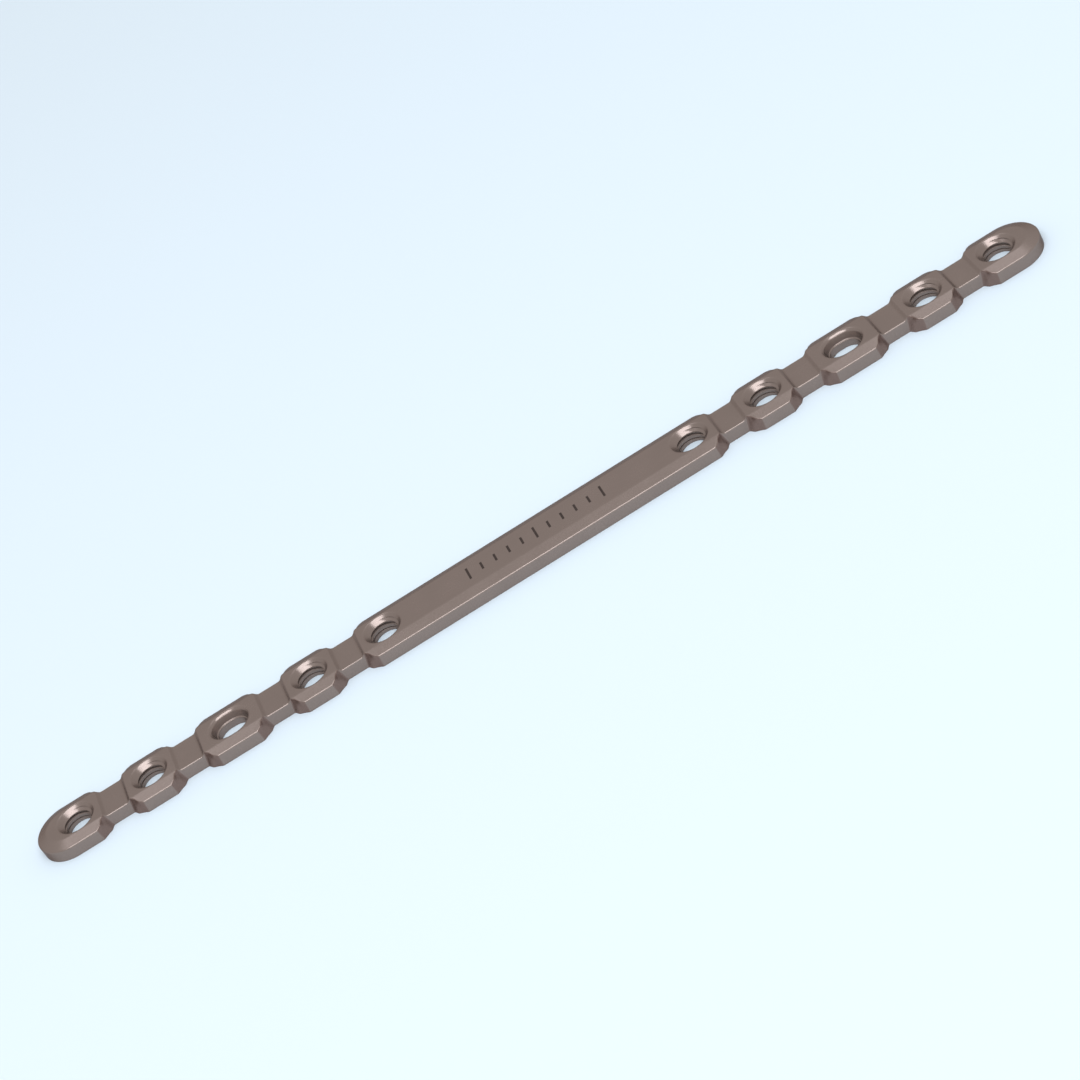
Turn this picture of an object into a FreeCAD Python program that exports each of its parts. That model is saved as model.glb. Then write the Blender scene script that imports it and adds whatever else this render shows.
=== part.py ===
"""Straight ten-hole bone plate with a solid middle bar and scalloped lobes.

Millimetres, +Z up. The underside lies on Z = 0 and the origin is the middle of the
underside. X runs along the plate and Y across it. The plate is a long obround blank with
a wide chamfer round its top. Side scallops with leaning flanks and shallow top cuts leave
one lobe round each hole and narrow, lower necks between the lobes.
"""
import FreeCAD, Part
import Sketcher

import math
import os

Vector = FreeCAD.Vector
NODE = "bone_plate"
STEP_FOLDER = "parts"

# Driving sizes in millimetres, the countersink angle in degrees, shares as fractions
SIZES = {
    # Blank
    "plate_width": 4.37,
    "plate_thick": 1.17,
    "end_reach": 0.77,
    "chamfer_run": 0.77,
    "chamfer_drop": 0.28,
    "edge_round": 0.08,
    # Hole places along the plate
    "bar_spacing": 23.0,
    "lock_pitch": 5.5,
    "slot_pitch": 6.0,
    # Locking holes
    "bore_width": 1.88,
    "sink_width": 2.72,
    "sink_angle": 96.0,
    # Slotted holes
    "slot_travel": 0.30,
    "slot_width": 1.88,
    "seat_width": 2.30,
    "seat_depth": 0.60,
    "seat_round": 0.21,
    # Necks
    "scallop_depth": 0.81,
    "neck_thick": 0.91,
    "neck_bevel": 0.05,
    "step_reach": 1.72,
    "step_run": 0.26,
    "step_fillet": 0.25,
    "slot_extra": 0.44,
    # Flank outline on the underside, measured from the hole centre
    "foot_low": 1.985,
    "knee_low": 1.755,
    "knee_low_share": 0.475,
    "brow_low": 1.42,
    "brow_low_share": 0.70,
    "shoulder_low": 1.09,
    # Flank outline at the level of the top face
    "foot_high": 1.76,
    "knee_high": 1.47,
    "knee_high_share": 0.30,
    "brow_high": 1.30,
    "brow_high_share": 0.72,
    "shoulder_high": 1.00,
    # How far the cutting outlines stand clear of the plate
    "overcut": 0.30,
}

# Half the width of a neck between two facing scallops
NECK_SIDE = "(Sizes.plate_width / 2 - Sizes.scallop_depth)"

# Hole centres on the +X half, from the bar outwards
HOLE_X = {
    "bar": "Sizes.bar_spacing / 2",
    "inner": "(Sizes.bar_spacing / 2 + Sizes.lock_pitch)",
    "slot": "(Sizes.bar_spacing / 2 + Sizes.lock_pitch + Sizes.slot_pitch)",
    "outer": "(Sizes.bar_spacing / 2 + Sizes.lock_pitch + 2 * Sizes.slot_pitch)",
    "end": "(Sizes.bar_spacing / 2 + 2 * Sizes.lock_pitch + 2 * Sizes.slot_pitch)",
}
LOCK_HOLES = ("bar", "inner", "outer", "end")
NECKS = (("bar", "inner"), ("inner", "slot"), ("slot", "outer"), ("outer", "end"))

# Sketch point numbers: start, end and centre of a curve, and the origin
START, END, CENTRE = 1, 2, 3
ORIGIN = (-1, 1)
X_AXIS = -1

# Two places nearer than this count as the same when edges are picked
NEAR = 1e-3


def add_sizes(doc):
    """Write the driving sizes into a spreadsheet, one alias a row."""
    sheet = doc.addObject("Spreadsheet::Sheet", "Sizes")
    for row, (name, value) in enumerate(SIZES.items(), start=1):
        sheet.set(f"A{row}", name)
        sheet.set(f"B{row}", str(value))
        sheet.setAlias(f"B{row}", name)
    doc.recompute()
    return sheet


def origin_plane(body, role):
    """Return the body's own origin plane with this role."""
    return next(f for f in body.Origin.OriginFeatures if f.Role == role)


def add_sketch(body, name, role, lift=None):
    """Add a sketch on an origin plane, lifted along its normal by an expression."""
    sketch = body.newObject("Sketcher::SketchObject", name)
    sketch.AttachmentSupport = [(origin_plane(body, role), "")]
    sketch.MapMode = "FlatFace"
    if lift:
        sketch.setExpression(".AttachmentOffset.Base.z", lift)
    return sketch


def value_of(sketch, expression):
    """Return the plain number that an expression gives now."""
    return float(sketch.evalExpression(expression))


def bind(sketch, kind, refs, expression):
    """Add one driving constraint and tie its value to an expression."""
    number = sketch.addConstraint(
        Sketcher.Constraint(kind, *refs, value_of(sketch, expression)))
    sketch.setExpression(f"Constraints[{number}]", expression)


def place_point(sketch, curve, point, x, y):
    """Fix one sketch point by its distances from the origin."""
    bind(sketch, "DistanceX", (*ORIGIN, curve, point), x)
    bind(sketch, "DistanceY", (*ORIGIN, curve, point), y)


def add_polygon(sketch, corners):
    """Draw a closed outline through corners given as pairs of expressions."""
    points = [Vector(value_of(sketch, x), value_of(sketch, y), 0) for x, y in corners]
    lines = [sketch.addGeometry(Part.LineSegment(a, b))
             for a, b in zip(points, points[1:] + points[:1])]
    for line, following in zip(lines, lines[1:] + lines[:1]):
        sketch.addConstraint(Sketcher.Constraint("Coincident", line, END, following, START))
    for line, (x, y) in zip(lines, corners):
        place_point(sketch, line, START, x, y)


def add_arc(sketch, centre, radius, first, last):
    """Draw a circular arc between two angles given in quarter turns."""
    quarter = math.pi / 2
    circle = Part.Circle(Vector(*centre, 0), Vector(0, 0, 1), radius)
    return sketch.addGeometry(Part.ArcOfCircle(circle, first * quarter, last * quarter))


def add_line(sketch, start, end):
    """Draw a straight line between two points."""
    return sketch.addGeometry(Part.LineSegment(Vector(*start, 0), Vector(*end, 0)))


def add_obround(sketch, left, right, radius):
    """Draw an obround on the X axis. Returns its two end arcs."""
    x1, x2, r = (value_of(sketch, text) for text in (left, right, radius))
    right_arc = add_arc(sketch, (x2, 0), r, -1, 1)
    top = add_line(sketch, (x2, r), (x1, r))
    left_arc = add_arc(sketch, (x1, 0), r, 1, 3)
    bottom = add_line(sketch, (x1, -r), (x2, -r))
    loop = (right_arc, top, left_arc, bottom)
    for curve, following in zip(loop, loop[1:] + loop[:1]):
        sketch.addConstraint(Sketcher.Constraint("Tangent", curve, END, following, START))
    for line in (top, bottom):
        sketch.addConstraint(Sketcher.Constraint("Horizontal", line))
    bind(sketch, "Radius", (right_arc,), radius)
    return left_arc, right_arc


def edge_names(feature, wanted):
    """Name the feature's edges whose bounding boxes pass a test."""
    return [f"Edge{n}" for n, edge in enumerate(feature.Shape.Edges, start=1)
            if wanted(edge.BoundBox)]


def lies_at(box, level):
    """Tell whether a bounding box lies flat at this height."""
    return abs(box.ZMin - level) < NEAR and abs(box.ZMax - level) < NEAR


def add_blank(body):
    """Pad the obround blank, chamfer its top rim and round the chamfer's lower edge."""
    sketch = add_sketch(body, "Outline", "XY_Plane")
    centre = f"{HOLE_X['end']} + Sizes.end_reach"
    left_arc, right_arc = add_obround(
        sketch, f"-({centre})", centre, "Sizes.plate_width / 2")
    sketch.addConstraint(Sketcher.Constraint(
        "Symmetric", left_arc, CENTRE, right_arc, CENTRE, *ORIGIN))
    bind(sketch, "DistanceX", (*ORIGIN, right_arc, CENTRE), centre)
    pad = body.newObject("PartDesign::Pad", "Blank")
    pad.Profile = sketch
    pad.setExpression("Length", "Sizes.plate_thick")
    body.Document.recompute()

    top = pad.Shape.BoundBox.ZMax
    chamfer = body.newObject("PartDesign::Chamfer", "TopChamfer")
    chamfer.Base = (pad, edge_names(pad, lambda box: lies_at(box, top)))
    chamfer.ChamferType = "Two distances"
    chamfer.setExpression("Size", "Sizes.chamfer_drop")
    chamfer.setExpression("Size2", "Sizes.chamfer_run")
    body.Document.recompute()

    brim = top - value_of(sketch, "Sizes.chamfer_drop")
    fillet = body.newObject("PartDesign::Fillet", "BrimRound")
    fillet.Base = (chamfer, edge_names(chamfer, lambda box: lies_at(box, brim)))
    fillet.setExpression("Radius", "Sizes.edge_round")
    return fillet


def flank_corners(level):
    """Give one flank from its foot outwards as reach and Y expressions.

    The last point lies beyond the side wall on the line from brow to shoulder.
    """
    side, neck, rise = "Sizes.plate_width / 2", NECK_SIDE, "Sizes.scallop_depth"
    brow_share = f"Sizes.brow_{level}_share"
    run = (f"(Sizes.brow_{level} - Sizes.shoulder_{level})"
           f" / ({rise} * (1 - {brow_share}))")
    return (
        (f"Sizes.foot_{level}", neck),
        (f"Sizes.knee_{level}", f"{neck} + {rise} * Sizes.knee_{level}_share"),
        (f"Sizes.brow_{level}", f"{neck} + {rise} * {brow_share}"),
        (f"(Sizes.shoulder_{level} - {run} * Sizes.overcut)",
         f"{side} + Sizes.overcut"),
    )


def lobe_reach(hole, reach):
    """Give how far a lobe reaches from its hole's centre, further round a slot."""
    return f"({reach} + Sizes.slot_extra)" if hole == "slot" else reach


def scallop_outline(left, right, level):
    """Give the outline of the side scallop between two lobes at one level."""
    flank = flank_corners(level)
    rising = [(f"{HOLE_X[left]} + {lobe_reach(left, reach)}", y)
              for reach, y in reversed(flank)]
    falling = [(f"{HOLE_X[right]} - {lobe_reach(right, reach)}", y)
               for reach, y in flank]
    return rising + falling


def add_scallop(body, left, right):
    """Cut the side scallop between two lobes, its flanks leaning in towards the top."""
    sections = []
    for level, lift in (("low", None), ("high", "Sizes.plate_thick")):
        sketch = add_sketch(body, f"Scallop_{left}_{right}_{level}", "XY_Plane", lift)
        add_polygon(sketch, scallop_outline(left, right, level))
        sections.append(sketch)
    loft = body.newObject("PartDesign::SubtractiveLoft", f"Scallop_{left}_{right}")
    loft.Profile = sections[0]
    loft.Sections = sections[1:]
    loft.Ruled = True
    return loft


def add_neck_profile(sketch, left, right):
    """Draw the cut that lowers one neck: flat floor, filleted feet, sloping ends.

    The slopes go on past the plate's top, and construction points mark where they would
    meet the floor without the fillets.
    """
    floor, radius = "Sizes.neck_thick", "Sizes.step_fillet"
    roof = "Sizes.plate_thick + Sizes.overcut"
    spread = "Sizes.step_run * Sizes.overcut / (Sizes.plate_thick - Sizes.neck_thick)"
    rim, foot = f"(Sizes.step_reach - {spread})", "(Sizes.step_reach + Sizes.step_run)"
    start, left_foot = (f"{HOLE_X[left]} + {lobe_reach(left, reach)}" for reach in (rim, foot))
    end, right_foot = (f"{HOLE_X[right]} - {lobe_reach(right, reach)}" for reach in (rim, foot))
    x1, f1, f2, x2, z1, z2, r = (value_of(sketch, text) for text in (
        start, left_foot, right_foot, end, floor, roof, radius))
    slope = math.atan2(z2 - z1, f1 - x1)
    tangent, turn = r * math.tan(slope / 2), slope / (math.pi / 2)
    away, up = tangent * math.cos(slope), z1 + tangent * math.sin(slope)

    left_slope = add_line(sketch, (x1, z2), (f1 - away, up))
    left_arc = add_arc(sketch, (f1 + tangent, z1 + r), r, 3 - turn, 3)
    base = add_line(sketch, (f1 + tangent, z1), (f2 - tangent, z1))
    right_arc = add_arc(sketch, (f2 - tangent, z1 + r), r, 3, 3 + turn)
    right_slope = add_line(sketch, (f2 + away, up), (x2, z2))
    lid = add_line(sketch, (x2, z2), (x1, z2))
    for a, b in ((left_slope, left_arc), (left_arc, base), (base, right_arc),
                 (right_arc, right_slope)):
        sketch.addConstraint(Sketcher.Constraint("Tangent", a, END, b, START))
    for a, b in ((right_slope, lid), (lid, left_slope)):
        sketch.addConstraint(Sketcher.Constraint("Coincident", a, END, b, START))
    for line in (base, lid):
        sketch.addConstraint(Sketcher.Constraint("Horizontal", line))
    sketch.addConstraint(Sketcher.Constraint("Equal", left_arc, right_arc))
    bind(sketch, "Radius", (left_arc,), radius)
    place_point(sketch, left_slope, START, start, roof)
    bind(sketch, "DistanceY", (*ORIGIN, base, START), floor)
    bind(sketch, "DistanceX", (*ORIGIN, right_slope, END), end)
    for line, x, where in ((left_slope, f1, left_foot), (right_slope, f2, right_foot)):
        mark = sketch.addGeometry(Part.Point(Vector(x, z1, 0)), True)
        sketch.addConstraint(Sketcher.Constraint("PointOnObject", mark, START, line))
        sketch.addConstraint(Sketcher.Constraint("PointOnObject", mark, START, base))
        bind(sketch, "DistanceX", (*ORIGIN, mark, START), where)


def add_neck_cut(body):
    """Lower the tops of the necks on the +X half, right across the plate."""
    sketch = add_sketch(body, "NeckProfiles", "XZ_Plane")
    for left, right in NECKS:
        add_neck_profile(sketch, left, right)
    cut = body.newObject("PartDesign::Pocket", "NeckTops")
    cut.Profile = sketch
    cut.Type = "ThroughAll"
    cut.SideType = "Symmetric"
    return cut


def add_slot(body, name, width, depth=None):
    """Cut an obround round the slotted hole's centre, right through or to a depth."""
    sketch = add_sketch(body, f"{name}_outline", "XY_Plane", "Sizes.plate_thick")
    left = f"{HOLE_X['slot']} - Sizes.slot_travel / 2"
    right = f"{HOLE_X['slot']} + Sizes.slot_travel / 2"
    left_arc, right_arc = add_obround(sketch, left, right, f"{width} / 2")
    sketch.addConstraint(Sketcher.Constraint("PointOnObject", left_arc, CENTRE, X_AXIS))
    bind(sketch, "DistanceX", (*ORIGIN, left_arc, CENTRE), left)
    bind(sketch, "DistanceX", (*ORIGIN, right_arc, CENTRE), right)
    pocket = body.newObject("PartDesign::Pocket", name)
    pocket.Profile = sketch
    if depth:
        pocket.setExpression("Length", depth)
    else:
        pocket.Type = "ThroughAll"
    return pocket


def add_seat_rounds(body, seats):
    """Round the top rims of both slotted holes' seats."""
    top = seats.Shape.BoundBox.ZMax
    middle = value_of(body, HOLE_X["slot"])
    half_width = value_of(body, "Sizes.seat_width / 2") + NEAR
    half_length = half_width + value_of(body, "Sizes.slot_travel / 2")

    def is_rim(box):
        beside = max(abs(abs(x) - middle) for x in (box.XMin, box.XMax))
        across = max(abs(box.YMin), abs(box.YMax))
        return lies_at(box, top) and beside < half_length and across < half_width

    fillet = body.newObject("PartDesign::Fillet", "SeatRounds")
    fillet.Base = (seats, edge_names(seats, is_rim))
    fillet.setExpression("Radius", "Sizes.seat_round")
    return fillet


def add_neck_bevels(body, base):
    """Break the long side edges of all the necks' tops."""
    level, side = (value_of(body, text) for text in ("Sizes.neck_thick", NECK_SIDE))

    def is_side(box):
        return lies_at(box, level) and box.YLength < NEAR and abs(abs(box.YMin) - side) < NEAR

    bevel = body.newObject("PartDesign::Chamfer", "NeckBevels")
    bevel.Base = (base, edge_names(base, is_side))
    bevel.setExpression("Size", "Sizes.neck_bevel")
    return bevel


def add_mirror(body, name, originals, roles):
    """Repeat features across one or two of the body's origin planes."""
    group = body.newObject("PartDesign::MultiTransform", name)
    group.Originals = originals
    steps = []
    for role in roles:
        step = body.newObject("PartDesign::Mirrored", f"{name}_{role}")
        step.MirrorPlane = (origin_plane(body, role), [""])
        steps.append(step)
    group.Transformations = steps
    body.Tip = group
    return group


def add_locking_holes(body):
    """Drill the countersunk bores, four on each half."""
    sketch = add_sketch(body, "BoreCentres", "XY_Plane", "Sizes.plate_thick")
    for hole in LOCK_HOLES:
        x = value_of(sketch, HOLE_X[hole])
        radius = value_of(sketch, "Sizes.bore_width / 2")
        right, left = (sketch.addGeometry(Part.Circle(Vector(side, 0, 0), Vector(0, 0, 1), radius))
                       for side in (x, -x))
        sketch.addConstraint(Sketcher.Constraint("PointOnObject", right, CENTRE, X_AXIS))
        bind(sketch, "DistanceX", (*ORIGIN, right, CENTRE), HOLE_X[hole])
        sketch.addConstraint(Sketcher.Constraint(
            "Symmetric", left, CENTRE, right, CENTRE, *ORIGIN))
        sketch.addConstraint(Sketcher.Constraint("Equal", left, right))
        bind(sketch, "Diameter", (right,), "Sizes.bore_width")
    body.Document.recompute()
    hole = body.newObject("PartDesign::Hole", "LockingHoles")
    hole.Profile = sketch
    body.Document.recompute()
    hole.DepthType = "ThroughAll"
    hole.DrillPoint = "Flat"
    hole.HoleCutType = "Countersink"
    hole.HoleCutCustomValues = True
    hole.setExpression("Diameter", "Sizes.bore_width")
    hole.setExpression("HoleCutDiameter", "Sizes.sink_width")
    hole.setExpression("HoleCutCountersinkAngle", "Sizes.sink_angle")
    return hole


def check(doc, shape):
    """Stop before anything is written if a feature or the finished shape is unsound."""
    failed = [obj.Name for obj in doc.Objects if {"Invalid", "Error"} & set(obj.State)]
    if failed:
        raise RuntimeError(f"Features failed: {failed}")
    if shape.isNull() or not shape.isValid() or len(shape.Solids) != 1:
        raise RuntimeError("The plate is not one valid solid")


def main():
    doc = FreeCAD.newDocument("BonePlate")
    add_sizes(doc)
    body = doc.addObject("PartDesign::Body", NODE)
    body.Label = NODE
    body.Placement = FreeCAD.Placement()

    add_blank(body)
    doc.recompute()
    scallops = [add_scallop(body, left, right) for left, right in NECKS]
    doc.recompute()
    add_mirror(body, "Scallops", scallops, ("XZ_Plane", "YZ_Plane"))
    doc.recompute()
    neck_cut = add_neck_cut(body)
    slot = add_slot(body, "SlotThrough", "Sizes.slot_width")
    seat = add_slot(body, "SlotSeat", "Sizes.seat_width", "Sizes.seat_depth")
    doc.recompute()
    seats = add_mirror(body, "FarHalf", [neck_cut, slot, seat], ("YZ_Plane",))
    doc.recompute()
    seat_rounds = add_seat_rounds(body, seats)
    doc.recompute()
    add_neck_bevels(body, seat_rounds)
    doc.recompute()
    add_locking_holes(body)
    doc.recompute()

    check(doc, body.Shape)
    os.makedirs(STEP_FOLDER, exist_ok=True)
    body.Shape.exportStep(os.path.join(STEP_FOLDER, f"{NODE}.step"))


main()
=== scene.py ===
"""Looks of a straight ten-hole bone plate: its fine skin, cut threads, finish, floor and light."""
import logging
import math
from collections.abc import Iterable, Sequence
from dataclasses import dataclass
from enum import Enum

import bmesh
import bpy
from mathutils import Matrix, Vector


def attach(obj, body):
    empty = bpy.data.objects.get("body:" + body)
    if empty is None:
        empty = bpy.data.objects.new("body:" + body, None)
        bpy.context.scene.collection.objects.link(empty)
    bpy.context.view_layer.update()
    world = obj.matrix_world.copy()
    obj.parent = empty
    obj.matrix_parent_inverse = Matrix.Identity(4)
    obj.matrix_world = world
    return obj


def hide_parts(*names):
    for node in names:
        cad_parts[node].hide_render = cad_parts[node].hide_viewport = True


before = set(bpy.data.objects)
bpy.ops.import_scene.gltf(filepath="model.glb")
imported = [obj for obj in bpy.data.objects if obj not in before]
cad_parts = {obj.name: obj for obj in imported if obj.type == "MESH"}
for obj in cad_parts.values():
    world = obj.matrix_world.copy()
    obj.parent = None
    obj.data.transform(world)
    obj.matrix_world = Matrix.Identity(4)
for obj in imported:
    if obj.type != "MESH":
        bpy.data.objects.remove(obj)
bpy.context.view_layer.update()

log = logging.getLogger("bone_plate")

MM = 0.001
SAME_PLACE = 1e-4
NO_LENGTH = 1e-9
NOISE_MEAN = 0.5
PLATE_NODE = "bone_plate"
PLATE_BODY = "root"

Point2 = tuple[float, float]
Point3 = tuple[float, float, float]
Colour = tuple[float, float, float, float]
Sample = tuple[float, float]


class Solver(Enum):
    """Ways to cut one mesh with another that are used here."""

    MANIFOLD = "MANIFOLD"


def spaced(first: float, last: float, parts: int) -> list[float]:
    """Divide a stretch evenly.

    Args:
        first: Where the stretch starts.
        last: Where it ends.
        parts: How many equal parts it has.

    Returns:
        The parts + 1 places that bound them.
    """
    return [first + (last - first) * n / parts for n in range(parts + 1)]


@dataclass(frozen=True)
class SoftLine:
    """A line of straight stretches whose corners are rounded by averaging along it.

    Attributes:
        corners: The points of the straight stretches.
    """

    corners: tuple[Point2, ...]

    def lengths(self) -> list[float]:
        """Give the length along the line at each corner."""
        total = [0.0]
        for a, b in zip(self.corners, self.corners[1:]):
            total.append(total[-1] + math.dist(a, b))
        return total

    def _area(self, place: float, marks: Sequence[float]) -> Point2:
        """Add the line's points up to one place, as an integral.

        Args:
            place: Length along the line.
            marks: Length at each corner.

        Returns:
            The integral of both coordinates.
        """
        sums = [0.0, 0.0]
        for n, (a, b) in enumerate(zip(self.corners, self.corners[1:])):
            start, end = marks[n], marks[n + 1]
            if place <= start:
                break
            if end - start < NO_LENGTH:
                continue
            share = (min(place, end) - start) / (end - start)
            for axis in (0, 1):
                reached = a[axis] + (b[axis] - a[axis]) * share
                sums[axis] += (a[axis] + reached) / 2 * share * (end - start)
        return sums[0], sums[1]

    def at(self, place: float, reach: float) -> Point2:
        """Give the rounded line's point at one length along it.

        Args:
            place: Length along the line, at least one reach from both ends.
            reach: How far along the line is averaged on either side.

        Returns:
            The rounded point.
        """
        marks = self.lengths()
        before = self._area(place - reach, marks)
        after = self._area(place + reach, marks)
        return tuple((q - p) / (2 * reach) for p, q in zip(before, after))

    def bend(self, corner: int, reach: float, parts: int, share: float = 1.0) -> list[Sample]:
        """Give where to sample the rounding of a corner.

        Args:
            corner: The corner's number.
            reach: How far its rounding reaches.
            parts: How many parts the rounding has.
            share: How much of the rounding to take.

        Returns:
            Lengths along the line, each with its reach.
        """
        place = self.lengths()[corner]
        return [(at, reach) for at in spaced(place - reach * share, place + reach * share, parts)]


class MeshDraft:
    """Collects points and faces in millimetres before they become a mesh."""

    def __init__(self) -> None:
        """Start with nothing."""
        self.points: list[Point3] = []
        self.faces: list[list[int]] = []

    def add_ring(self, ring: Iterable[Point3]) -> list[int]:
        """Add the points of one ring.

        Args:
            ring: Its points in order.

        Returns:
            The points' numbers.
        """
        first = len(self.points)
        self.points.extend(ring)
        return list(range(first, len(self.points)))

    def join(self, one: Sequence[int], other: Sequence[int]) -> None:
        """Join two closed rings of as many points with a band of faces.

        Args:
            one: The first ring's point numbers.
            other: The second ring's point numbers.
        """
        for n in range(len(one)):
            m = (n + 1) % len(one)
            self.faces.append([one[n], one[m], other[m], other[n]])

    def add_tube(self, rings: Sequence[Sequence[Point3]]) -> None:
        """Add a closed tube through rings, with a face over each end.

        Args:
            rings: The rings in order.
        """
        numbers = [self.add_ring(ring) for ring in rings]
        for one, other in zip(numbers, numbers[1:]):
            self.join(one, other)
        self.faces.append(list(reversed(numbers[0])))
        self.faces.append(numbers[-1])

    def finish(self, name: str) -> bpy.types.Object:
        """Make the object, still in millimetres, with its faces turned outwards.

        Args:
            name: The object's name.

        Returns:
            The object.
        """
        mesh = bpy.data.meshes.new(name)
        mesh.from_pydata(self.points, [], self.faces)
        work = bmesh.new()
        work.from_mesh(mesh)
        bmesh.ops.remove_doubles(work, verts=work.verts, dist=SAME_PLACE)
        bmesh.ops.dissolve_degenerate(work, edges=work.edges, dist=SAME_PLACE)
        bmesh.ops.recalc_face_normals(work, faces=work.faces)
        work.to_mesh(mesh)
        work.free()
        made = bpy.data.objects.new(name, mesh)
        bpy.context.scene.collection.objects.link(made)
        return made


def cut(target: bpy.types.Object, tool: bpy.types.Object, solver: Solver) -> None:
    """Cut one object out of another and remove the tool.

    Args:
        target: What is cut.
        tool: What cuts it.
        solver: How the cut is worked out.
    """
    step = target.modifiers.new("Cut", "BOOLEAN")
    step.operation = "DIFFERENCE"
    step.object = tool
    step.solver = solver.value
    graph = bpy.context.evaluated_depsgraph_get()
    cut_mesh = bpy.data.meshes.new_from_object(target.evaluated_get(graph))
    target.modifiers.remove(step)
    old = target.data
    target.data = cut_mesh
    bpy.data.meshes.remove(old)
    bpy.data.meshes.remove(tool.data)


@dataclass(frozen=True)
class Flank:
    """One level of a lobe's flank, as reaches from the hole's centre.

    Attributes:
        foot: Reach where the flank meets the neck.
        knee: Reach of the lower bend.
        knee_share: How far out across the flank the lower bend is.
        brow: Reach of the upper bend.
        brow_share: How far out across the flank the upper bend is.
        shoulder: Reach where the flank meets the side wall.
    """

    foot: float
    knee: float
    knee_share: float
    brow: float
    brow_share: float
    shoulder: float

    def lean(self, other: "Flank", share: float) -> "Flank":
        """Mix two levels.

        Args:
            other: The level to go to.
            share: How far to go.

        Returns:
            The flank at that share of the way.
        """
        mixed = {name: getattr(self, name) + (getattr(other, name) - getattr(self, name)) * share
                 for name in self.__dataclass_fields__}
        return Flank(**mixed)


@dataclass(frozen=True)
class HoleRow:
    """Places of the holes along the plate, in millimetres.

    Attributes:
        bar_spacing: Distance between the two holes beside the middle bar.
        lock_pitch: Distance between two threaded holes.
        slot_pitch: Distance between a slotted hole and its neighbours.
        slot_extra: How much further a slotted lobe reaches on either side.
    """

    bar_spacing: float = 23.0
    lock_pitch: float = 5.5
    slot_pitch: float = 6.0
    slot_extra: float = 0.44

    def half(self) -> dict[str, float]:
        """Give the hole centres of the +X half by name."""
        bar = self.bar_spacing / 2
        inner = bar + self.lock_pitch
        slot = inner + self.slot_pitch
        outer = slot + self.slot_pitch
        return {"bar": bar, "inner": inner, "slot": slot, "outer": outer,
                "end": outer + self.lock_pitch}

    def locking(self) -> list[float]:
        """Give the X of all eight threaded holes."""
        near = [x for name, x in self.half().items() if name != "slot"]
        return sorted([-x for x in near] + near)

    def slotted(self) -> list[float]:
        """Give the X of both slotted holes."""
        slot = self.half()["slot"]
        return [-slot, slot]

    def anchors(self) -> list[Point2]:
        """Give, for each lobe of the +X half, the stretch that its flanks are measured from."""
        half = self.half()
        stretches = [(-half["bar"], half["bar"])]
        for name in ("inner", "slot", "outer"):
            extra = self.slot_extra if name == "slot" else 0.0
            stretches.append((half[name] - extra, half[name] + extra))
        stretches.append((half["end"], half["end"]))
        return stretches


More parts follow.
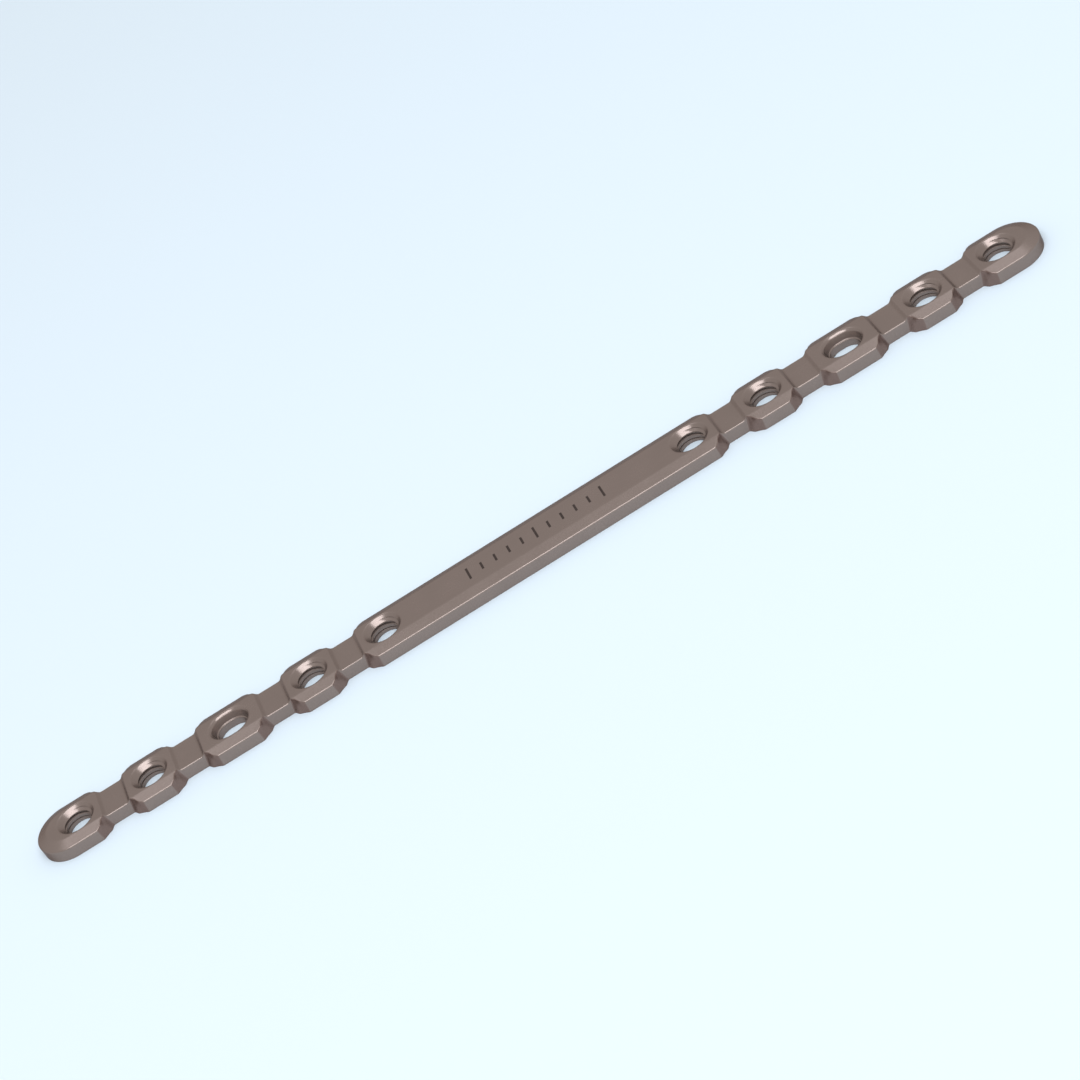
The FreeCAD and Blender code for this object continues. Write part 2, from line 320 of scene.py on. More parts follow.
@dataclass(frozen=True)
class PlateSkin:
    """The plate's outside without its holes, in millimetres.

    Attributes:
        row: The places of the holes.
        width: Width over the lobes.
        thick: Height of the lobes.
        end_reach: How far past the last hole's centre the round end is centred.
        chamfer_run: Width of the chamfer round the top.
        chamfer_drop: Height of that chamfer.
        neck_width: Width of the necks.
        neck_thick: Height of the necks.
        step_reach: Reach at which a lobe's top starts to slope down.
        step_run: Length of the slope.
        step_foot_soft: How far the rounding at the slope's foot reaches.
        step_rim_soft: How far the rounding at its rim reaches.
        low: A flank's outline at the underside.
        high: The same at the level of the top.
        foot_soft: How far the rounding of the lowest edge reaches.
        brim_soft: How far the rounding between wall and chamfer reaches.
        crest_soft: How far the rounding between chamfer and top reaches.
        plan_soft: How far the rounding of the upright bends reaches.
        plan_parts: How many parts that rounding is averaged over.
        halvings: How often the search for the brim halves its stretch.
        foot_parts: How many parts the lowest edge's rounding has.
        edge_parts: How many parts the rounding of the other edges has.
        step_foot_parts: How many parts the rounding at a slope's foot has.
        wall_rows: How many rows of faces a wall has.
        flank_step: Length between the sections on a flank.
        flank_margin: How far the sections go on past a flank.
        cap_parts: How many parts a round end has.
    """

    row: HoleRow = HoleRow()
    width: float = 4.37
    thick: float = 1.17
    end_reach: float = 0.77
    chamfer_run: float = 0.77
    chamfer_drop: float = 0.28
    neck_width: float = 2.75
    neck_thick: float = 0.91
    step_reach: float = 1.72
    step_run: float = 0.26
    step_foot_soft: float = 0.13
    step_rim_soft: float = 0.05
    low: Flank = Flank(1.985, 1.755, 0.475, 1.42, 0.70, 1.09)
    high: Flank = Flank(1.76, 1.47, 0.30, 1.30, 0.72, 1.00)
    foot_soft: float = 0.015
    brim_soft: float = 0.10
    crest_soft: float = 0.08
    plan_soft: float = 0.06
    plan_parts: int = 6
    halvings: int = 30
    foot_parts: int = 2
    edge_parts: int = 4
    step_foot_parts: int = 6
    wall_rows: int = 6
    flank_step: float = 0.045
    flank_margin: float = 0.10
    cap_parts: int = 44

    def _flank_width(self, reach: float, height: float) -> float:
        """Give the half width of the plate on a flank with sharp bends.

        Args:
            reach: Distance past the lobe's anchor.
            height: Height above the underside.

        Returns:
            The half width.
        """
        level = self.low.lean(self.high, height / self.thick)
        side, neck = self.width / 2, self.neck_width / 2
        rise = side - neck
        stops = ((level.shoulder, side), (level.brow, neck + rise * level.brow_share),
                 (level.knee, neck + rise * level.knee_share), (level.foot, neck))
        if reach <= level.shoulder:
            return side
        for (r1, w1), (r2, w2) in zip(stops, stops[1:]):
            if reach <= r2:
                return w1 + (w2 - w1) * (reach - r1) / (r2 - r1)
        return neck

    def half_width(self, reach: float, height: float) -> float:
        """Give the half width of the plate, its upright bends softened.

        Args:
            reach: Distance past the lobe's anchor.
            height: Height above the underside.

        Returns:
            The half width.
        """
        near = spaced(reach - self.plan_soft, reach + self.plan_soft, self.plan_parts)
        return sum(self._flank_width(r, height) for r in near) / len(near)

    def chamfer_width(self, height: float) -> float:
        """Give the half width that the chamfer leaves at a height."""
        below = self.thick - self.chamfer_drop
        return self.width / 2 - max(0.0, height - below) * self.chamfer_run / self.chamfer_drop

    def top_line(self) -> list[Point2]:
        """Give the top from a lobe down its softened slope to the neck, as reaches and heights."""
        run = self.step_run
        foot = self.step_reach + run
        line = SoftLine(((0.0, self.thick), (self.step_reach, self.thick),
                         (foot, self.neck_thick), (foot + 2 * run, self.neck_thick)))
        marks = [*line.bend(1, self.step_rim_soft, self.edge_parts),
                 *line.bend(2, self.step_foot_soft, self.step_foot_parts)]
        return [line.at(*mark) for mark in marks]

    def top_height(self, reach: float) -> float:
        """Give the height of the top.

        Args:
            reach: Distance past the lobe's anchor.

        Returns:
            The height above the underside.
        """
        line = self.top_line()
        if reach <= line[0][0]:
            return self.thick
        for (r1, z1), (r2, z2) in zip(line, line[1:]):
            if reach <= r2:
                return z1 + (z2 - z1) * (reach - r1) / (r2 - r1)
        return self.neck_thick

    def brim_height(self, reach: float, top: float) -> float:
        """Find where the side wall or flank meets the chamfer.

        Args:
            reach: Distance past the lobe's anchor.
            top: Height of the top there.

        Returns:
            The height where they meet, or the top where there is no chamfer.
        """
        below, above = self.thick - self.chamfer_drop, top
        if above <= below or self.half_width(reach, above) <= self.chamfer_width(above):
            return top
        for _ in range(self.halvings):
            middle = (below + above) / 2
            if self.half_width(reach, middle) < self.chamfer_width(middle):
                below = middle
            else:
                above = middle
        return below

    def section(self, reach: float) -> list[Point2]:
        """Give half of the plate's section, from the middle of the underside to that of the top.

        Args:
            reach: Distance past the lobe's anchor.

        Returns:
            Points as pairs of distance from the middle and height.
        """
        top = self.top_height(reach)
        brim = self.brim_height(reach, top)
        wall = [(self.half_width(reach, z), z) for z in spaced(0, brim, self.wall_rows)]
        shelf = min(self.chamfer_width(top), self.half_width(reach, top))
        line = SoftLine(((0.0, 0.0), *wall, (shelf, top), (0.0, top)))
        marks = line.lengths()
        brow, crest = len(wall), len(wall) + 1
        places = [*line.bend(1, self.foot_soft, self.foot_parts),
                  *line.bend(brow, self.brim_soft, self.edge_parts),
                  *line.bend(crest, self.crest_soft, self.edge_parts)]
        rows = spaced(marks[1] + self.foot_soft, marks[brow] - self.brim_soft, self.wall_rows)
        places += [(row, self.foot_soft) for row in rows[1:-1]]
        return [(0.0, 0.0), *(line.at(*place) for place in sorted(places)), (0.0, top)]

    def reaches(self) -> list[float]:
        """Give the reaches at which sections are taken on a flank and its step."""
        first, last = self.high.shoulder - self.flank_margin, self.low.foot + self.flank_margin
        count = math.ceil((last - first) / self.flank_step)
        places = spaced(first, last, count) + [reach for reach, _ in self.top_line()]
        ordered = sorted(places)
        return [a for a, b in zip(ordered, ordered[1:] + [math.inf]) if b - a > SAME_PLACE]

    def stations(self) -> list[Point2]:
        """Give the sections of the +X half as pairs of X and reach."""
        anchors = self.row.anchors()
        reaches = self.reaches()
        found = [(0.0, 0.0)]
        for (_, left), (right, _) in zip(anchors, anchors[1:]):
            found += [(left + reach, reach) for reach in reaches]
            found += [(right - reach, reach) for reach in reversed(reaches)]
        found.append((anchors[-1][1] + self.end_reach, 0.0))
        return found

    def build(self) -> bpy.types.Object:
        """Make the plate's outside: sections along it and a turned cap at each end."""
        half = self.stations()
        along = [(-x, reach) for x, reach in reversed(half[1:])] + half
        sections = {reach: self.section(reach) for reach in {reach for _, reach in half}}
        draft = MeshDraft()
        rings = []
        for x, reach in along:
            outline = sections[reach]
            ring = [(x, -y, z) for y, z in outline] + [(x, y, z) for y, z in outline[-2:0:-1]]
            rings.append(draft.add_ring(ring))
        for one, other in zip(rings, rings[1:]):
            draft.join(one, other)
        for side in (-1, 1):
            self._add_cap(draft, side, sections[0.0])
        return draft.finish("plate")

    def _add_cap(self, draft: MeshDraft, side: int, outline: Sequence[Point2]) -> None:
        """Turn the full section round the centre of one end.

        Args:
            draft: Where the points go.
            side: 1 for the +X end, -1 for the other.
            outline: Half of the plate's section.
        """
        centre = side * (self.row.half()["end"] + self.end_reach)
        fans = []
        for angle in spaced(-math.pi / 2, math.pi / 2, self.cap_parts):
            fans.append(draft.add_ring(
                (centre + side * y * math.cos(angle), y * math.sin(angle), z)
                for y, z in outline))
        for one, other in zip(fans, fans[1:]):
            for n in range(len(outline) - 1):
                draft.faces.append([one[n], one[n + 1], other[n + 1], other[n]])


@dataclass(frozen=True)
class HoleForm:
    """A hole turned or swept round an upright axis, in millimetres.

    Attributes:
        wall: The hole's half section, from out along the underside to out along the top.
        softs: How far the rounding of each of its bends reaches.
        travel: How much longer than wide the hole is.
        parts: How many parts a full turn has.
        bend_parts: How many parts the rounding of a bend has.
        bend_share: How much of that rounding is sampled.
        clearance: How far the cutter runs past the plate.
    """

    wall: tuple[Point2, ...]
    softs: tuple[float, ...]
    travel: float = 0.0
    parts: int = 96
    bend_parts: int = 7
    bend_share: float = 0.95
    clearance: float = 0.35

    def profile(self) -> list[Point2]:
        """Give the cutter's half section with rounded edges, running clear of the plate."""
        line = SoftLine(self.wall)
        places = []
        for corner, soft in enumerate(self.softs, start=1):
            places += line.bend(corner, soft, self.bend_parts, self.bend_share)
        points = [line.at(*place) for place in sorted(places)]
        first, last = points[0], points[-1]
        return [(first[0], first[1] - self.clearance), *points,
                (last[0], last[1] + self.clearance)]

    def add(self, draft: MeshDraft, x: float) -> None:
        """Add the cutter of one hole.

        Args:
            draft: Where the points go.
            x: The hole's centre.
        """
        rings = []
        for radius, height in self.profile():
            ring = []
            for n in range(self.parts):
                angle = 2 * math.pi * (n + 0.5) / self.parts
                shift = math.copysign(self.travel / 2, math.cos(angle))
                ring.append((x + shift + radius * math.cos(angle),
                             radius * math.sin(angle), height))
            rings.append(ring)
        draft.add_tube(rings)


@dataclass(frozen=True)
class Thread:
    """A right-hand tapered groove that winds up a bore and runs out in its countersink.

    Attributes:
        bore_radius: The bore's radius in millimetres, like all lengths here.
        sink_level: Height at which the countersink starts.
        sink_slope: How much wider the countersink gets per unit of height.
        floor_radius: Radius of the groove's floor at height 0.
        floor_slope: How much wider the floor gets per unit of height.
        half_floor: Half the height of the floor.
        flank_slope: How much taller the groove gets on either side per unit of depth.
        run: How far in from the floor the cutting ridge reaches.
        pitch: Rise of one turn.
        lowest: Height at which the groove starts, below the underside.
        turns: How many turns it has.
        fade_turns: How long it takes to run out.
        fade_clear: How far off the wall the ridge ends.
        start_angle: Angle at which it starts.
        parts: How many parts a turn has.
    """

    bore_radius: float = 0.94
    sink_level: float = 0.79
    sink_slope: float = 1.105
    floor_radius: float = 0.97
    floor_slope: float = 0.215
    half_floor: float = 0.012
    flank_slope: float = 0.60
    run: float = 0.26
    pitch: float = 0.35
    lowest: float = -0.42
    turns: float = 4.05
    fade_turns: float = 0.14
    fade_clear: float = 0.03
    start_angle: float = math.pi / 2
    parts: int = 72

    def wall(self, level: float) -> float:
        """Give the radius of the bore or countersink at a level."""
        return self.bore_radius + max(0.0, level - self.sink_level) * self.sink_slope

    def floor_at(self, turn: float) -> float:
        """Give the radius of the groove's floor, which comes in to the wall where it runs out.

        Args:
            turn: How many turns after the start.

        Returns:
            The radius.
        """
        level = self.lowest + self.pitch * turn
        floor = self.floor_radius + self.floor_slope * level
        keep = min(1.0, (self.turns - turn) / self.fade_turns)
        return floor * keep + (self.wall(level) - self.fade_clear) * (1 - keep)

    def add(self, draft: MeshDraft, x: float) -> None:
        """Add the winding ridge that cuts the groove of one hole.

        Args:
            draft: Where the points go.
            x: The hole's centre.
        """
        half_back = self.half_floor + self.run * self.flank_slope
        rings = []
        for turn in spaced(0, self.turns, round(self.turns * self.parts)):
            angle = self.start_angle + 2 * math.pi * turn
            level = self.lowest + self.pitch * turn
            floor = self.floor_at(turn)
            back = floor - self.run
            shape = ((back, -half_back), (floor, -self.half_floor),
                     (floor, self.half_floor), (back, half_back))
            rings.append([(x + radius * math.cos(angle), radius * math.sin(angle), level + rise)
                          for radius, rise in shape])
        draft.add_tube(rings)


@dataclass(frozen=True)
class Plate:
    """The finished plate: outside, holes and threads.

    Attributes:
        skin: The outside.
        thread: The groove in each locking hole.
        bore: The locking holes.
        slot: The slotted holes.
        smooth_angle: Angle over which an edge stays sharp, in radians.
    """

    skin: PlateSkin = PlateSkin()
    thread: Thread = Thread()
    bore: HoleForm = HoleForm(
        wall=((1.30, 0.0), (0.94, 0.0), (0.94, 0.79), (1.36, 1.17), (1.90, 1.17)),
        softs=(0.02, 0.05, 0.09))
    slot: HoleForm = HoleForm(
        wall=((1.30, 0.0), (0.926, 0.0), (0.926, 0.52), (1.01, 0.57), (1.17, 1.01),
              (1.29, 1.13), (1.39, 1.17), (1.90, 1.17)),
        softs=(0.02, 0.03, 0.03, 0.05, 0.05, 0.05), travel=0.30)
    smooth_angle: float = math.radians(32)

    def build(self, finish: bpy.types.Material) -> bpy.types.Object:
        """Cut the holes and threads, size the mesh in metres and dress it.

        Args:
            finish: The plate's material.

        Returns:
            The plate.
        """
        made = self.skin.build()
        holes = MeshDraft()
        for x in self.skin.row.locking():
            self.bore.add(holes, x)
        for x in self.skin.row.slotted():
            self.slot.add(holes, x)
        cut(made, holes.finish("hole_cutters"), Solver.MANIFOLD)
        grooves = MeshDraft()
        for x in self.skin.row.locking():
            self.thread.add(grooves, x)
        cut(made, grooves.finish("groove_cutters"), Solver.MANIFOLD)
        self._smooth(made)
        made.data.transform(Matrix.Scale(MM, 4))
        made.data.materials.clear()
        made.data.materials.append(finish)
        return made

    def _smooth(self, made: bpy.types.Object) -> None:
        """Shade the mesh smooth except over its sharp edges, with flat faces kept flat."""
        mesh = made.data
        mesh.polygons.foreach_set("use_smooth", [True] * len(mesh.polygons))
        mesh.set_sharp_from_angle(angle=self.smooth_angle)
        weigh = made.modifiers.new("Weigh", "WEIGHTED_NORMAL")
        weigh.mode = "FACE_AREA"
        weigh.keep_sharp = True
        graph = bpy.context.evaluated_depsgraph_get()
        made.data = bpy.data.meshes.new_from_object(made.evaluated_get(graph))
        made.modifiers.remove(weigh)


Number = "Wire | float"


class Wire:
    """A shader socket that takes part in Python arithmetic by adding Math nodes."""

    def __init__(self, sheet: "NodeSheet", socket: bpy.types.NodeSocket) -> None:
        """Hold one output socket of a node sheet."""
        self.sheet = sheet
        self.socket = socket

    def _math(self, operation: str, *values: "Number") -> "Wire":
        """Add a Math node.

        Args:
            operation: The node's operation.
            values: Its inputs in order.

        Returns:
            Its output.
        """
        inputs = dict(enumerate(values))
        return self.sheet.add("ShaderNodeMath", {"operation": operation}, inputs)[0]

    def __add__(self, other: "Number") -> "Wire":
        """Add."""
        return self._math("ADD", self, other)

    __radd__ = __add__

    def __sub__(self, other: "Number") -> "Wire":
        """Take away."""
        return self._math("SUBTRACT", self, other)

    def __rsub__(self, other: "Number") -> "Wire":
        """Take this away from a number."""
        return self._math("SUBTRACT", other, self)

    def __mul__(self, other: "Number") -> "Wire":
        """Multiply."""
        return self._math("MULTIPLY", self, other)

    __rmul__ = __mul__

    def __truediv__(self, other: "Number") -> "Wire":
        """Divide."""
        return self._math("DIVIDE", self, other)

    def __rtruediv__(self, other: "Number") -> "Wire":
        """Divide a number by this."""
        return self._math("DIVIDE", other, self)

    def __lt__(self, other: "Number") -> "Wire":
        """Give 1 where this is the smaller, else 0."""
        return self._math("LESS_THAN", self, other)

    def __gt__(self, other: "Number") -> "Wire":
        """Give 1 where this is the larger, else 0."""
        return self._math("GREATER_THAN", self, other)

    def __abs__(self) -> "Wire":
        """Drop the sign."""
        return self._math("ABSOLUTE", self)

    def clamp(self) -> "Wire":
        """Keep the value between 0 and 1."""
        return self._math("MINIMUM", self._math("MAXIMUM", self, 0.0), 1.0)

    def fold(self, period: float) -> "Wire":
        """Give the distance to the nearest multiple of a period."""
        return abs(self - self._math("SNAP", self + period / 2, period))


class NodeSheet:
    """The nodes of one material."""

    def __init__(self, name: str) -> None:
        """Start a material with only its output node."""
        self.material = bpy.data.materials.new(name)
        self.material.use_nodes = True
        self.tree = self.material.node_tree
        self.tree.nodes.clear()
        self.output = self.tree.nodes.new("ShaderNodeOutputMaterial")

    def add(self, kind: str, settings: dict | None = None,
            inputs: dict | None = None) -> list[Wire]:
        """Add a node.

        Args:
            kind: The node's type.
            settings: Its properties, set first.
            inputs: Values or wires by socket name or number.

        Returns:
            One wire for each of its outputs.
        """
        node = self.tree.nodes.new(kind)
        for key, value in (settings or {}).items():
            setattr(node, key, value)
        for key, value in (inputs or {}).items():
            if isinstance(value, Wire):
                self.tree.links.new(value.socket, node.inputs[key])
            else:
                node.inputs[key].default_value = value
        return [Wire(self, socket) for socket in node.outputs]

    def mix(self, share: "Number", one: "Wire | tuple", other: "Wire | tuple") -> Wire:
        """Mix two colours.

        Args:
            share: How much of the other.
            one: The colour at share 0.
            other: The colour at share 1.

        Returns:
            The mixed colour.
        """
        outputs = self.add("ShaderNodeMix", {"data_type": "RGBA"},
                           {"Factor": share, 6: one, 7: other})
        return outputs[2]

    def place(self) -> tuple[Wire, list[Wire]]:
        """Give the object's own coordinates, whole and split, in metres."""
        whole = self.add("ShaderNodeTexCoord")[3]
        return whole, self.add("ShaderNodeSeparateXYZ", None, {0: whole})

    def facing_along(self) -> Wire:
        """Give how much the surface faces along the plate, from -1 to 1."""
        normal = self.add("ShaderNodeTexCoord")[1]
        return self.add("ShaderNodeSeparateXYZ", None, {0: normal})[0]

    def stretch(self, vector: Wire, factors: Point3) -> Wire:
        """Multiply a vector, so that grain runs along one axis."""
        return self.add("ShaderNodeVectorMath", {"operation": "MULTIPLY"},
                        {0: vector, 1: factors})[0]

    def noise(self, vector: Wire, grain: "Grain") -> Wire:
        """Give a noise from 0 to 1.

        Args:
            vector: Where it is taken.
            grain: How fine it is.

        Returns:
            The noise.
        """
        return self.add("ShaderNodeTexNoise", None, {
            "Vector": vector, "Scale": grain.per_metre, "Detail": grain.detail})[0]

    def bump(self, height: Wire, distance: float, strength: float) -> Wire:
        """Turn a height into a normal."""
        return self.add("ShaderNodeBump", None,
                        {"Height": height, "Distance": distance, "Strength": strength})[0]

    def close(self, settings: dict) -> bpy.types.Material:
        """Add the surface shader with its inputs and give the material.

        Args:
            settings: Values or wires for the shader's sockets.

        Returns:
            The material.
        """
        surface = self.add("ShaderNodeBsdfPrincipled", None, settings)[0]
        self.tree.links.new(surface.socket, self.output.inputs["Surface"])
        return self.material


@dataclass(frozen=True)
class Grain:
    """How fine a noise is.

    Attributes:
        per_metre: How many cells a metre has.
        detail: How many finer layers it has.
    """

    per_metre: float
    detail: float


@dataclass(frozen=True)
class LaserScale:
    """Plain ticks marked on the middle bar, lengths in millimetres.

    Attributes:
        spacing: Distance between two ticks.
        long_spacing: Distance between two long ticks.
        tick_width: Width of a tick.
        tick_length: Length of a short tick.
        long_length: Length of a long tick.
        reach: How far from the middle the marks go.
        above: Height over which a surface is marked.
    """

    spacing: float = 1.0
    long_spacing: float = 5.0
    tick_width: float = 0.16
    tick_length: float = 0.80
    long_length: float = 1.30
    reach: float = 5.25
    above: float = 1.15

    def mask(self, along: Wire, across: Wire, up: Wire) -> Wire:
        """Give 1 on the marks and 0 beside them.

        Args:
            along: Place along the plate, in metres.
            across: Place across the plate, in metres.
            up: Height above the underside, in metres.

        Returns:
            The mask.
        """
        on_tick = along.fold(self.spacing * MM) < self.tick_width / 2 * MM
        on_long = along.fold(self.long_spacing * MM) < self.tick_width / 2 * MM
        length = on_long * (self.long_length - self.tick_length) + self.tick_length
        inside = (abs(across) < length * (MM / 2)) * (abs(along) < self.reach * MM)
        return on_tick * inside * (up > self.above * MM)


@dataclass(frozen=True)
class Titanium:
    """Satin, brownish-grey anodised titanium with fine grain, a laser mark and painted shade on
    the scallops' flanks.

    Attributes:
        scale: The laser mark.
        tone: The colour of the surface.
        pale_tone: Its colour in paler clouds.
        mark_tone: The colour of the mark.
        flank_shade_tone: The darker base colour painted on the scallops' flanks as shade.
        edge_tint: The tint of the gloss.
        flank_slant: How much a flank faces along the plate where the painted shade sets in.
        flank_blend: How much more it does where the painted shade is full.
        flank_side: Distance from the middle past which flanks lie, in millimetres.
        flank_limit: Distance from the plate's middle that they end at, in millimetres.
        clouds: The slow change of tone.
        brush: The fine lines along the plate.
        blast: The fine grain.
        brush_stretch: How the brushed lines are drawn out.
        cloud_tone: How strongly the clouds change the tone.
        cloud_shift: How far they are held back.
        brush_tone: How strongly the lines change the tone.
        blast_gloss: How strongly the grain changes the roughness.
        cloud_gloss: How strongly the clouds change it.
        blast_height: The grain's share of the bump.
        brush_height: The lines' share of the bump.
        bump_depth: The bump's distance in metres.
        bump_strength: The bump's strength.
        mark_cover: How well the mark covers the surface.
        mark_grain: How much the grain adds to that.
        mark_dulling: How much less metallic the mark is.
        specular_level: The level of the gloss.
        metallic: How metallic the surface is.
        roughness: Its roughness.
        mark_roughness: The roughness of the mark.
    """

    scale: LaserScale = LaserScale()
    tone: Colour = (0.248, 0.193, 0.168, 1.0)
    pale_tone: Colour = (0.270, 0.210, 0.183, 1.0)
    mark_tone: Colour = (0.030, 0.021, 0.018, 1.0)
    # Painted shade: a darker base colour laid on the scallops' flanks in place of their shading.
    flank_shade_tone: Colour = (0.205, 0.141, 0.120, 1.0)
    edge_tint: Colour = (0.22, 0.17, 0.16, 1.0)
    flank_slant: float = 0.20
    flank_blend: float = 0.30
    flank_side: float = 1.38
    flank_limit: float = 34.0
    clouds: Grain = Grain(420.0, 3.0)
    brush: Grain = Grain(16000.0, 2.0)
    blast: Grain = Grain(26000.0, 2.0)
    brush_stretch: Point3 = (0.06, 1.0, 1.0)
    cloud_tone: float = 1.4
    cloud_shift: float = 0.2
    brush_tone: float = 0.35
    blast_gloss: float = 0.16
    cloud_gloss: float = 0.10
    blast_height: float = 0.6
    brush_height: float = 0.4
    bump_depth: float = 0.000012
    bump_strength: float = 0.35
    mark_cover: float = 0.75
    mark_grain: float = 0.3
    mark_dulling: float = 0.5
    specular_level: float = 0.1
    metallic: float = 0.65
    roughness: float = 0.24
    mark_roughness: float = 0.62

    def _painted_flank_shade(self, sheet: NodeSheet, along: Wire, across: Wire) -> Wire:
        """Give how far a place gets the painted shade of the scallops' flanks, which face along
        the plate.

        Args:
            sheet: The material's nodes.
            along: Place along the plate, in metres.
            across: Place across the plate, in metres.

        Returns:
            A share from 0 to 1.
        """
        slant = ((abs(sheet.facing_along()) - self.flank_slant) / self.flank_blend).clamp()
        beside = abs(across) > self.flank_side * MM
        return slant * beside * (abs(along) < self.flank_limit * MM)

    def build(self) -> bpy.types.Material:
        """Make the material."""
        sheet = NodeSheet("anodised_titanium")
        whole, (along, across, up) = sheet.place()
        clouds = sheet.noise(whole, self.clouds)
        brushed = sheet.noise(sheet.stretch(whole, self.brush_stretch), self.brush)
        blasted = sheet.noise(whole, self.blast)
        mark = self.scale.mask(along, across, up)
        paleness = (clouds * self.cloud_tone - self.cloud_shift
                    + (brushed - NOISE_MEAN) * self.brush_tone)
        ground = sheet.mix(paleness, self.tone, self.pale_tone)
        # Painted shade: flanks that face along the plate get the darker flank colour.
        tint = sheet.mix(self._painted_flank_shade(sheet, along, across), ground, self.flank_shade_tone)
        satin = (self.roughness + (blasted - NOISE_MEAN) * self.blast_gloss
                 + (clouds - NOISE_MEAN) * self.cloud_gloss)
        relief = blasted * self.blast_height + brushed * self.brush_height
        cover = mark * (self.mark_cover + blasted * self.mark_grain)
        return sheet.close({
            "Base Color": sheet.mix(cover, tint, self.mark_tone),
            "Metallic": self.metallic - mark * self.mark_dulling,
            "Specular Tint": self.edge_tint,
            "Specular IOR Level": self.specular_level,
            "Roughness": satin * (1 - mark) + mark * self.mark_roughness,
            "Normal": sheet.bump(relief, self.bump_depth, self.bump_strength),
        })


@dataclass(frozen=True)
class PaleFloor:
    """A plain pale floor just under the plate, lengths in metres.

    Attributes:
        tone: Its colour.
        shade: Its colour in darker clouds.
        clouds: The slow change between the two.
        size: Length of its sides.
        level: Its height.
        roughness: Its roughness.
    """

    tone: Colour = (0.70, 0.78, 0.83, 1.0)
    shade: Colour = (0.68, 0.76, 0.81, 1.0)
    clouds: Grain = Grain(9.0, 2.0)
    size: float = 3.0
    level: float = -2e-6
    roughness: float = 0.75

    def finish(self) -> bpy.types.Material:
        """Make the floor's material."""
        sheet = NodeSheet("pale_floor")
        whole, _ = sheet.place()
        clouds = sheet.noise(whole, self.clouds)
        return sheet.close({"Base Color": sheet.mix(clouds, self.tone, self.shade),
                            "Roughness": self.roughness})

    def build(self) -> bpy.types.Object:
        """Lay the floor."""
        half = self.size / 2
        mesh = bpy.data.meshes.new("floor")
        mesh.from_pydata([(-half, -half, self.level), (half, -half, self.level),
                          (half, half, self.level), (-half, half, self.level)],
                         [], [(0, 1, 2, 3)])
        floor = bpy.data.objects.new("floor", mesh)
        bpy.context.scene.collection.objects.link(floor)
        mesh.materials.append(self.finish())
        return floor


@dataclass(frozen=True)
class SoftBox:
    """A studio lamp that faces the plate.

    Attributes:
        name: Its name.
        azimuth: Angle round the plate in degrees, 0 in front of its near side.
        elevation: Angle above the floor in degrees.
        distance: Distance from the plate in metres.
        width: Width of the lamp in metres.
        height: Height of the lamp in metres.
        power: Power in watts.
        colour: The light's colour.
    """

    name: str
    azimuth: float
    elevation: float
    distance: float
    width: float
    height: float
    power: float
    colour: Point3

    def build(self) -> None:
        """Hang the lamp at its angles, facing the middle of the plate."""
        turn, rise = math.radians(self.azimuth), math.radians(self.elevation)
        back = Vector((math.sin(turn) * math.cos(rise), -math.cos(turn) * math.cos(rise),
                       math.sin(rise)))
        data = bpy.data.lights.new(self.name, "AREA")
        data.shape = "RECTANGLE"
        data.size = self.width
        data.size_y = self.height
        data.energy = self.power
        data.color = self.colour
        lamp = bpy.data.objects.new(self.name, data)
        lamp.location = back * self.distance
        lamp.rotation_euler = back.to_track_quat("Z", "Y").to_euler()
        bpy.context.scene.collection.objects.link(lamp)


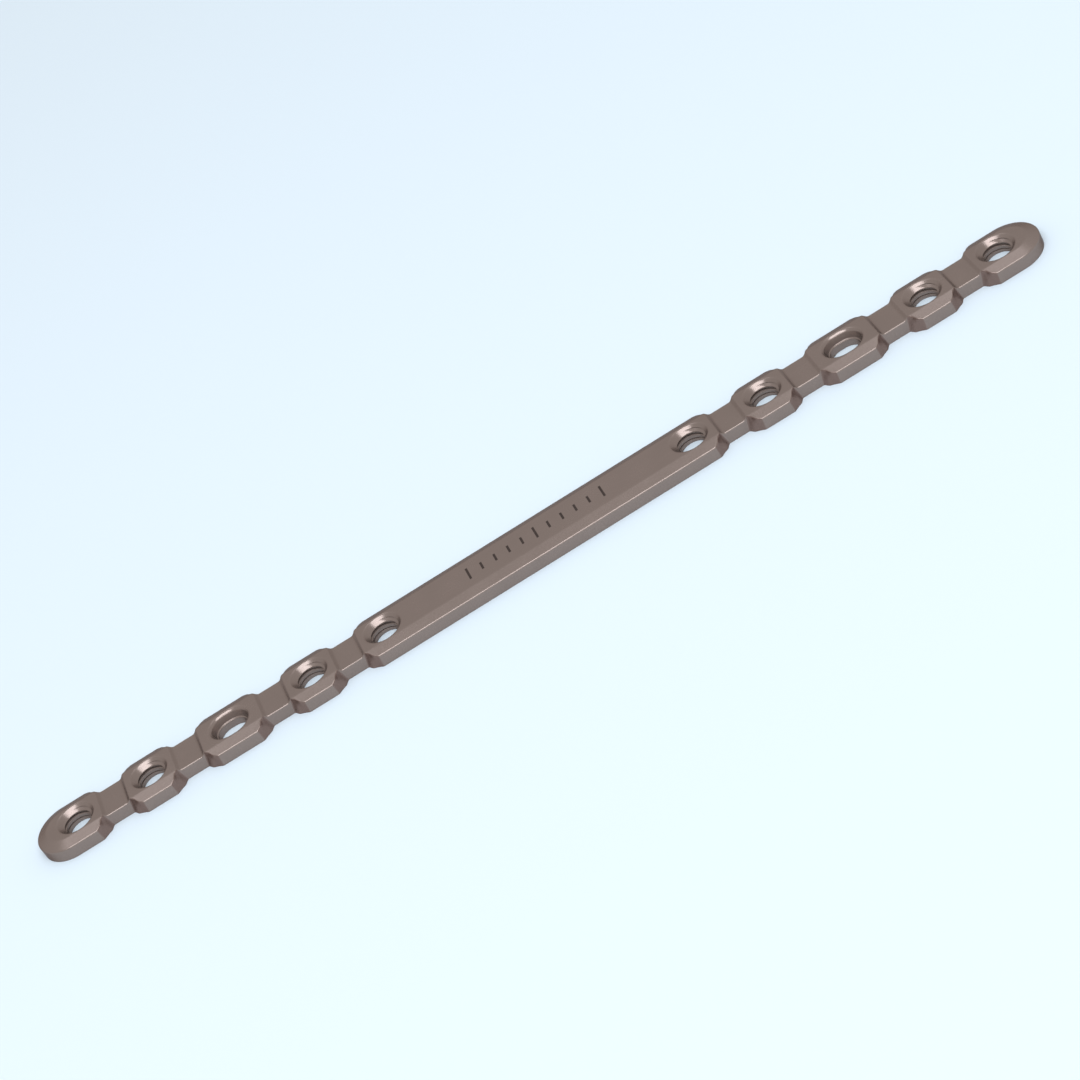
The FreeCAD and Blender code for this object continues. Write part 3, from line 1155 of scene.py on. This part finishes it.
@dataclass(frozen=True)
class Studio:
    """Camera, lamps and world, in metres and degrees.

    Attributes:
        elevation: The camera's angle above the floor.
        roll: How far it is rolled.
        distance: Its distance from the aim.
        lens: Its focal length in millimetres.
        sensor_width: The width of its sensor in millimetres.
        clip: The nearest and furthest distance that it sees.
        aim_up: How far above the plate's middle it aims, before its roll.
        aim_right: How far to the right it aims.
        world_level: The strength of the light all round.
        world_tone: The colour of that light.
        lamps: The lamps.
    """

    elevation: float = 34.4
    roll: float = 31.794
    distance: float = 0.19642
    lens: float = 102.36
    sensor_width: float = 36.0
    clip: Point2 = (0.005, 10.0)
    aim_up: float = 0.000384
    aim_right: float = 0.000011
    world_level: float = 0.66
    world_tone: Colour = (1.0, 1.0, 1.0, 1.0)
    lamps: tuple[SoftBox, ...] = (
        SoftBox("key_lamp", 0.0, 61.0, 0.50, 0.52, 0.22, 1.75, (0.90, 0.98, 1.08)),
        SoftBox("front_lamp", 0.0, 30.0, 0.55, 0.40, 0.12, 0.32, (0.90, 0.98, 1.08)),
        SoftBox("left_lamp", -132.0, 67.5, 0.60, 0.20, 0.14, 0.10, (0.90, 0.98, 1.10)),
        SoftBox("right_lamp", 132.0, 67.5, 0.60, 0.20, 0.14, 0.10, (0.90, 0.98, 1.10)),
    )

    def build(self) -> None:
        """Set up the camera, the lamps, the world and the colour view."""
        self._camera()
        for lamp in self.lamps:
            lamp.build()
        world = bpy.data.worlds.new("studio")
        bpy.context.scene.world = world
        world.use_nodes = True
        background = world.node_tree.nodes["Background"]
        background.inputs["Color"].default_value = self.world_tone
        background.inputs["Strength"].default_value = self.world_level
        bpy.context.scene.view_settings.view_transform = "Standard"

    def _camera(self) -> None:
        """Place the camera above the long side, rolled so that the plate rises to the right."""
        rise, roll = math.radians(self.elevation), math.radians(self.roll)
        back = Vector((0.0, -math.cos(rise), math.sin(rise)))
        level_right = Vector((1.0, 0.0, 0.0))
        level_up = back.cross(level_right)
        right = level_right * math.cos(roll) - level_up * math.sin(roll)
        up = level_right * math.sin(roll) + level_up * math.cos(roll)
        data = bpy.data.cameras.new("camera")
        data.lens = self.lens
        data.sensor_width = self.sensor_width
        data.clip_start, data.clip_end = self.clip
        camera = bpy.data.objects.new("camera", data)
        turn = Matrix((right, up, back)).transposed().to_4x4()
        place = back * self.distance + level_up * self.aim_up + level_right * self.aim_right
        camera.matrix_world = Matrix.Translation(place) @ turn
        bpy.context.scene.collection.objects.link(camera)
        bpy.context.scene.camera = camera


def main() -> None:
    """Build the plate, the floor and the studio, and log the plate's face count."""
    logging.basicConfig(level=logging.INFO, format="%(name)s: %(message)s")
    plate = Plate().build(Titanium().build())
    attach(plate, PLATE_BODY)
    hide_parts(PLATE_NODE)
    log.info("plate: %d faces", len(plate.data.polygons))

    floor = PaleFloor().build()
    log.info("floor laid")
    Studio().build()
    log.info("studio set")


if __name__ == "__main__":
    main()
